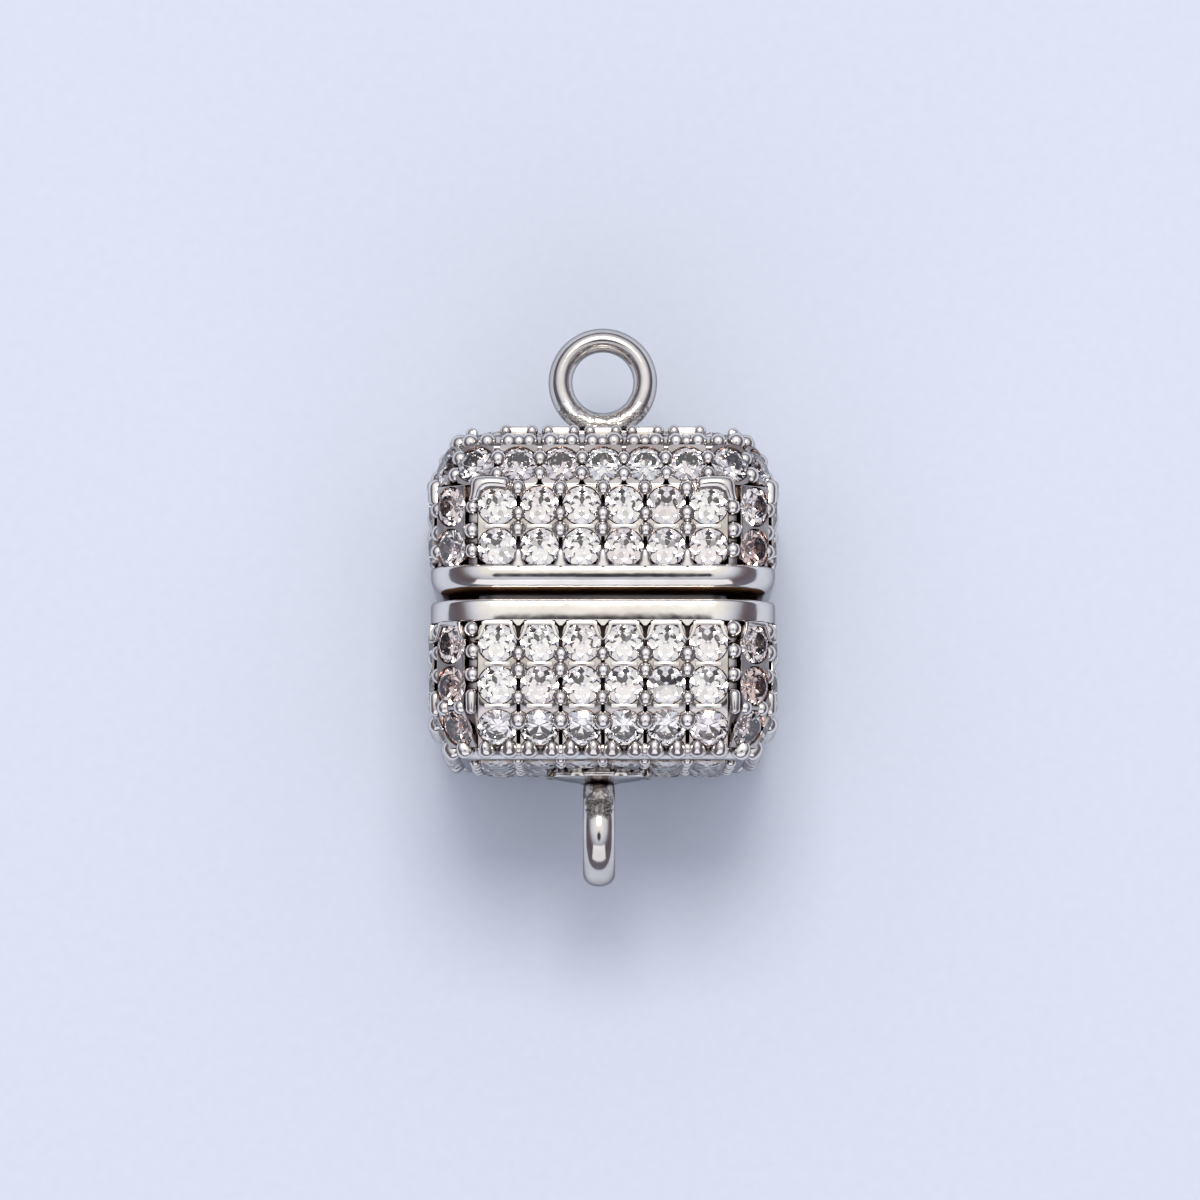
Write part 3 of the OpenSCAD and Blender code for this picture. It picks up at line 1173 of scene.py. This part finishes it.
def make_claw(mirror):
    """A bent claw over the corner of a stone. +Z is out of the metal, +X towards the rim."""
    claw = box(x=(-CLAW_HALF, CLAW_HALF), y=(-CLAW_HALF, CLAW_HALF), z=(CLAW_ROOT, CLAW_TOP))
    edit(claw)
    for x, y in LONG_ARM:
        pick("faces", lambda middle, normal: normal.y < -NEARLY)
        extrude(x, y, y * CLAW_DROOP)
    for x, y in SHORT_ARM:
        pick("faces", lambda middle, normal: normal.x > NEARLY and middle.y > -CLAW_HALF)
        extrude(x, y, 0)
    done()
    place(claw, Matrix.Scale(mirror, 4, Vector((0, 1, 0))))
    edit(claw)
    point_outwards()
    done()
    add_modifier(claw, "SUBSURF", levels=2)
    bpy.ops.object.shade_smooth()
    paint(claw, metal)
    return claw


def claw_places(mirror):
    return [spot @ Matrix.Translation((CLAW_SHIFT, 0, 0))
            for spot in wall_places([mirror * CLAW_TRACK], [CLAW_ALONG])]


keep_master("left_claw", make_claw(-1))
keep_master("right_claw", make_claw(1))

# %% [markdown]
# Tabs
#
# Between the edge of the upper end and its field of stones stand low walls, each with two small
# beads against it. They show as a row of blocks along the top of the picture. A wall and its beads
# always go together, so they are joined in one master.

# %% Tabs
TAB_FROM, TAB_TO = 3.88, 4.14       # from the clasp's axis
TAB_HALF, TAB_RISE, TAB_SOFT = 0.57, 0.32, 0.08
TAB_BEAD_R, TAB_BEAD_FROM, TAB_BEAD_RISE, TAB_BEAD_APART = 0.19, 4.06, 0.18, 0.4


def make_tab():
    """A low wall between the end's field and its edge, on the first side."""
    tab = box(x=(TAB_FROM, TAB_TO), y=(-TAB_HALF, TAB_HALF), z=(END - SUNK, END + TAB_RISE))
    soften(tab, TAB_SOFT, segments=3)
    smooth(tab)
    parts = [tab]
    for y in (-TAB_BEAD_APART, TAB_BEAD_APART):
        spot = (TAB_BEAD_FROM, y, END + TAB_BEAD_RISE)
        parts.append(add(bpy.ops.mesh.primitive_uv_sphere_add, radius=TAB_BEAD_R, location=spot,
                         **SMALL_BALL))
        bpy.ops.object.shade_smooth()
    tab = join(parts, "tab")
    paint(tab, metal)
    return tab


keep_master("tab", make_tab())

# %% [markdown]
# The round plate
#
# A round plate lies on the end and carries the loop. It swells like a lens up to the loop's foot,
# has a fine ring round its edge, and stands on wedges between the stones. It could be turned from a
# profile, but insets on a disc make the same swell in four steps, and leave a foot that can be made
# oval. The wedges are wider under the plate than on the end.

# %% Wedges, plate and edge
PLATE_TOP = 5.533
PLATE_R, PLATE_START, PLATE_THICK = 1.65, 0.24, 0.06
PLATE_STEPS = [(0.2, 0.09), (0.3, 0.07), (0.55, 0.07), (0.15, 0.12)]    # in, up
PLATE_BACK = [(0.15, 0.03), (0.2, 0.02)]
FOOT_NARROWED, STEM = 0.85, 0.4
EDGE_R, EDGE_THICK, EDGE_BELOW_TOP = 1.6, 0.06, 0.2
WEDGE_FROM, WEDGE_TO = (1.42, 0.56), (1.63, 0.8)
WEDGE_STEPS = [(0.15, 1.3, 1), (0.15, 1.5, 1)]
WEDGE_TO_WEDGE = 1.36


def make_wedge():
    """A foot of the plate, narrow on the end and wider under the plate, on the first side."""
    x, y = zip(WEDGE_FROM, WEDGE_TO)
    wedge = box(x, y, z=(END - SUNK, END + SUNK))
    edit(wedge)
    taper(WEDGE_STEPS)
    done()
    soften(wedge, SOFT_EDGE)
    smooth(wedge)
    paint(wedge, metal)
    return wedge


def make_plate():
    """The plate, with a stem that goes down into the end's open middle."""
    plate = add(bpy.ops.mesh.primitive_cylinder_add, vertices=48, radius=PLATE_R, depth=PLATE_THICK,
                location=(0, 0, PLATE_TOP - PLATE_START))
    edit(plate)
    pick("faces", facing_up)
    for step_in, step_up in PLATE_STEPS:
        inset(step_in, step_up)
    bpy.ops.transform.resize(value=(1, FOOT_NARROWED, 1))
    pick("faces", facing_down)
    for step_in, step_up in PLATE_BACK:
        inset(step_in, step_up)
    extrude(0, 0, -STEM)
    done()
    return plate


def make_plate_edge():
    return add(bpy.ops.mesh.primitive_torus_add, major_radius=EDGE_R, minor_radius=EDGE_THICK,
               major_segments=64, minor_segments=10, location=(0, 0, PLATE_TOP - EDGE_BELOW_TOP))


keep_master("wedge", make_wedge())

# %% [markdown]
# The loop
#
# The loop is a cast ring of oval wire, soldered by its foot to the plate. A torus is the natural
# start. Its tube is widened along the hole, because the wire is broader that way than it is thick.
# The upper loop lies flat, so that its hole shows. The lower one is turned by a quarter and stands
# on edge, and was soldered on a little to one side.

# %% Ring
LOOP_HOLE_R = 0.96
LOOP_THICK = 0.75
LOOP_WIDE = 1.0
LOOP_CENTRE = PLATE_TOP + 1.54
ASIDE = 0.12


def make_ring(half):
    ring = add(bpy.ops.mesh.primitive_torus_add, major_radius=LOOP_HOLE_R + LOOP_THICK / 2,
               minor_radius=LOOP_THICK / 2, major_segments=96, minor_segments=28)
    edit(ring)
    bpy.ops.transform.resize(value=(1, 1, LOOP_WIDE / LOOP_THICK))
    done()
    place(ring, Matrix.Translation((0, 0, LOOP_CENTRE)) @ Matrix.Rotation(math.radians(90), 4, "X"))
    plate = make_plate()
    edge = make_plate_edge()
    for piece, finish in ((ring, ring_metal), (plate, metal), (edge, metal)):
        paint(piece, finish)
        smooth(piece, 45)
    feet = copies(masters["wedge"], shifted([0, -WEDGE_TO_WEDGE]), "feet")
    loop = join([ring, plate, edge, feet], half + "_ring")
    if half == "lower":
        place(loop, Matrix.Translation((-ASIDE, 0, 0)) @ Matrix.Rotation(math.radians(90), 4, "Z"))
    return loop


# %% [markdown]
# The beads of a half
#
# No two beads of a real clasp are quite alike. They could be moved one by one, but there are some
# hundreds: each copy is moved, sized and tilted a little by chance. The chance is seeded, so every
# run gives the same clasp.

# %% All the beads
HAND_SHIFT, HAND_SIZE, HAND_TILT = 0.02, 0.08, 6
PAIRS = {
    # half: prong, how far each stands from its gap, how far back it is drawn
    "lower": ("drop", 0.29, 0.13),
    "upper": ("edge_bead", 0.325, 0),
}
LAST_PAIR = 3.7


def by_hand(matrices, shift, size, tilt):
    """Small seeded differences in place, size and tilt, as a setter's hand leaves them."""
    found = []
    for matrix in matrices:
        move = Matrix.Translation([random.uniform(-shift, shift) for _ in range(3)])
        lean = Matrix.Rotation(math.radians(random.uniform(-tilt, tilt)), 4, "Y")
        roll = Matrix.Rotation(math.radians(random.uniform(-tilt, tilt)), 4, "X")
        found.append(matrix @ move @ lean @ roll @ Matrix.Scale(1 + random.uniform(-size, size), 4))
    return found


def make_beads(half):
    prong, apart, back = PAIRS[half]
    pairs = [track + shift for track in GAPS + [FIELD_HALF, -FIELD_HALF] for shift in (-apart, apart)
             if abs(track + shift) < LAST_PAIR]
    kinds = [("bead", bead_places(half)), (prong, edge_places(pairs, back)),
             ("saddle", edge_places(GAPS, back)), ("low_bead", end_bead_places(half))]
    groups = [copies(masters[kind], by_hand(spots, HAND_SHIFT, HAND_SIZE, HAND_TILT), kind + "s")
              for kind, spots in kinds]
    return join(groups, half + "_beads")


# %% [markdown]
# The setting of a half
#
# All the other metal round the stones is one piece: the masters with the places of their copies,
# and the frame of the end. They could stay pieces of their own, but they are one casting.

# %% All the metal round the stones
def make_setting(half):
    beside_corner = math.degrees((BESIDE_CORNER - FLAT) / CORNER_R)
    columns = shifted(COLUMNS) + turned([45])
    bridge_rows = {"lower": [BETWEEN_ROWS, WALL_END], "upper": [BETWEEN_ROWS]}
    kinds = [(half + "_strip", columns), ("tile", end_places()),
             (half + "_post", turned([beside_corner, 90 - beside_corner])),
             ("bridge", wall_places(COLUMNS, bridge_rows[half]))]
    if half == "upper":
        kinds += [("fin", shifted(GAPS)), ("tab", shifted(GAPS)), ("slope_tile", slope_places()),
                  ("corner_tile", corner_pair_places()), ("left_claw", claw_places(-1)),
                  ("right_claw", claw_places(1))]
    else:
        kinds += [("big_bead", wall_places(GAPS, [BIG_BEADS])), ("arch", columns),
                  ("bar", wall_places([-BESIDE_CORNER, BESIDE_CORNER], [BARS])),
                  ("point", shifted(GAPS))]
    parts = [copies(masters[kind], spots, kind + "s") for kind, spots in kinds]
    return join(parts + [make_end_frame()], half + "_setting")


# %% [markdown]
# The stones of a half
#
# The stones are tilted by hand too, and each is turned on its axis by a few degrees more than the
# one before. Stones that all lay the same way would flash all at once.

# %% All the stones
STONE_TILT = 3
STONE_TURN = 11


def make_gems(half):
    spots = [spot @ Matrix.Rotation(math.radians(STONE_TURN * i), 4, "Z")
             for i, spot in enumerate(stone_places(half))]
    return copies(masters["stone"], by_hand(spots, 0, 0, STONE_TILT), half + "_gems")


# %% [markdown]
# Laying the halves down
#
# Each half was modelled standing on its seam. The upper half is turned so that its axis runs along
# +Y, the lower one so that it runs along -Y, and both are lifted so that their beads touch the
# surface. The same matrix shrinks millimetres to metres.

# %% Make both halves, lay them down and let them ride
LIFT = Matrix.Translation((0, 0, LIE_HEIGHT))
TO_METRES = Matrix.Scale(MM, 4)
LAY = {"lower": LIFT @ Matrix.Rotation(math.radians(90), 4, "X") @ TO_METRES,
       "upper": LIFT @ Matrix.Rotation(math.radians(-90), 4, "X") @ TO_METRES}


def lay_down(piece, half):
    place(piece, LAY[half])
    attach(piece, half + "_half")
    report(piece)


random.seed(7)
halves = {}
for half in ("lower", "upper"):
    pieces = {"cup": make_cup(half), "setting": make_setting(half), "beads": make_beads(half),
              "ring": make_ring(half), "gems": make_gems(half)}
    for part, piece in pieces.items():
        lay_down(piece, half)
    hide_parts(half + "_shell")
    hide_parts(half + "_stones")
    halves[half] = pieces
throw_away(*masters.values())

# %% [markdown]
# Last touches
#
# Stones that face a corner look into the dark of the slots, so they get the browner tints: a painted
# reflection of the slots. The mating faces and the cavity of each cup are bare brass, painted very
# dark as the shade in the gap between the halves. The magnets keep the solid model's plain blocks,
# because they are hidden when the clasp is shut, and are only given their nickel.

# %% Tints and painted reflections for the stones, painted shade on the brass inside the cups, nickel for the magnets
# The browner tints are a painted reflection of the dark slots.
CLEAR_TINTS, SLOT_REFLECTION_TINTS = (0.0, 0.85), (0.8, 1.0)


def tint_stones_and_paint_reflections(piece, places):
    """Gives each stone one tint number, and a browner one, a painted reflection of the dark slots, to
    the stones that look sideways.
    """
    tint = piece.data.attributes.new(TINT_AND_REFLECTION_NAME, "FLOAT", "FACE")
    per_stone = len(piece.data.polygons) // len(places)
    for i, matrix in enumerate(places):
        out = matrix.to_3x3() @ Vector((0, 0, 1))
        facing_slots = min(abs(out.x), abs(out.y)) > 0.5
        value = random.uniform(*(SLOT_REFLECTION_TINTS if facing_slots else CLEAR_TINTS))
        for k in range(per_stone):
            tint.data[i * per_stone + k].value = value


def line_with_shaded_brass(cup):
    """Dark brass brown, the painted shade of the gap, on the mating face and in the cavity of a cup
    that already lies in its place.
    """
    reach = (CAVITY_HALF + HAIR) * MM
    for face in cup.data.polygons:
        middle = face.center
        inside = abs(middle.x) < reach and abs(middle.z - LIE_HEIGHT) < reach
        deep = (CAVITY_END + SUNK) * MM if inside else (SEAM + HAIR) * MM
        if abs(middle.y) < deep:
            face.material_index = 1


for half, pieces in halves.items():
    tint_stones_and_paint_reflections(pieces["gems"], stone_places(half))
    line_with_shaded_brass(pieces["cup"])
    for magnet_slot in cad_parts[half + "_magnet"].material_slots:
        magnet_slot.material = nickel
print("finished:", [piece.name for pieces in halves.values() for piece in pieces.values()])

# %% [markdown]
# The surface
#
# The clasp lies on pale blue card. A plane in one flat colour would do, but card is never quite even:
# a very fine noise between two tones close together keeps it from looking painted. It isn't a piece
# of the clasp.

# %% Surface
floor = add(bpy.ops.mesh.primitive_plane_add, size=1.2)
floor.name = "surface"
card, nodes, links, shader = new_material("pale_card")
colour = ramp(nodes, links, noise(nodes, links, 3000, 4),
              [(0.3, (0.692, 0.753, 0.868)), (0.7, (0.712, 0.773, 0.888))])
links.new(colour, shader.inputs["Base Color"])
shader.inputs["Roughness"].default_value = 0.8
floor.data.materials.append(card)
print(floor.name, "in", card.name)

# %% [markdown]
# The sky
#
# A polished metal shows whatever is round it, so the sky does as much as the lamps. It could be a
# picture of a studio, but a colour ramp on the direction is enough, and every step of it can be
# set. It is bright overhead, leaning to the back, and dark low down: without the dark the beads
# would have no edges. The camera itself is the small dark patch beside the zenith, which draws the
# dark lines along the rims and the dots in the beads.

# %% Sky
SKY_LEANS = math.radians(20)
SKY = [(0.0, (0.15, 0.14, 0.18)), (0.35, (0.13, 0.105, 0.125)), (0.5, (0.20, 0.175, 0.20)),
       (0.66, (0.56, 0.585, 0.69)), (0.8, (0.80, 0.815, 0.90)), (0.92, (0.98, 0.97, 0.965)),
       (1.0, (1.0, 0.985, 0.965))]
LENS_LEANS = math.radians(11)
LENS = [(0.13, (0.04, 0.035, 0.045)), (0.2, (1, 1, 1))]


def leaning_back(lean):
    return (0, math.sin(lean), math.cos(lean))


def compare_direction(nodes, links, operation, vector):
    """A number for each direction of the sky, from its dot product with or distance to a vector."""
    direction = nodes.new("ShaderNodeTexCoord")
    node = nodes.new("ShaderNodeVectorMath")
    node.operation = operation
    node.inputs[1].default_value = vector
    links.new(direction.outputs["Generated"], node.inputs[0])
    return node.outputs["Value"]


world = bpy.data.worlds.new("sky")
world.use_nodes = True
bpy.context.scene.world = world
nodes, links = world.node_tree.nodes, world.node_tree.links
facing = compare_direction(nodes, links, "DOT_PRODUCT", leaning_back(SKY_LEANS))
off_lens = compare_direction(nodes, links, "DISTANCE", leaning_back(-LENS_LEANS))
sky = multiply(nodes, links, ramp(nodes, links, facing, SKY), ramp(nodes, links, off_lens, LENS))
background = nodes["Background"]
links.new(sky, background.inputs["Color"])
background.inputs["Strength"].default_value = 1.0
print("sky in", len(SKY), "steps")

# %% [markdown]
# The lights
#
# One large soft light stands behind the top of the picture and makes the soft shadow below the
# clasp. A small lamp would give a hard one. A weak bluish light from the front fills that shadow.

# %% Lights
AIM = Vector((0, 0, 0.005))


def soft_light(name, stand, size, watts, colour):
    data = bpy.data.lights.new(name, "AREA")
    data.shape = "RECTANGLE"
    data.size, data.size_y = size
    data.energy = watts
    data.color = colour
    lamp = bpy.data.objects.new(name, data)
    bpy.context.scene.collection.objects.link(lamp)
    lamp.location = stand
    lamp.rotation_euler = (AIM - Vector(stand)).to_track_quat("-Z", "Y").to_euler()
    print(name, "light of", watts, "W")


soft_light("key", stand=(0, 0.22, 0.48), size=(0.2, 0.2), watts=1.2, colour=(1.0, 0.955, 0.91))
soft_light("front_card", stand=(0, -0.36, 0.3), size=(0.6, 0.3), watts=0.55,
           colour=(0.92, 0.94, 1.0))
bpy.context.scene.view_settings.view_transform = "Standard"
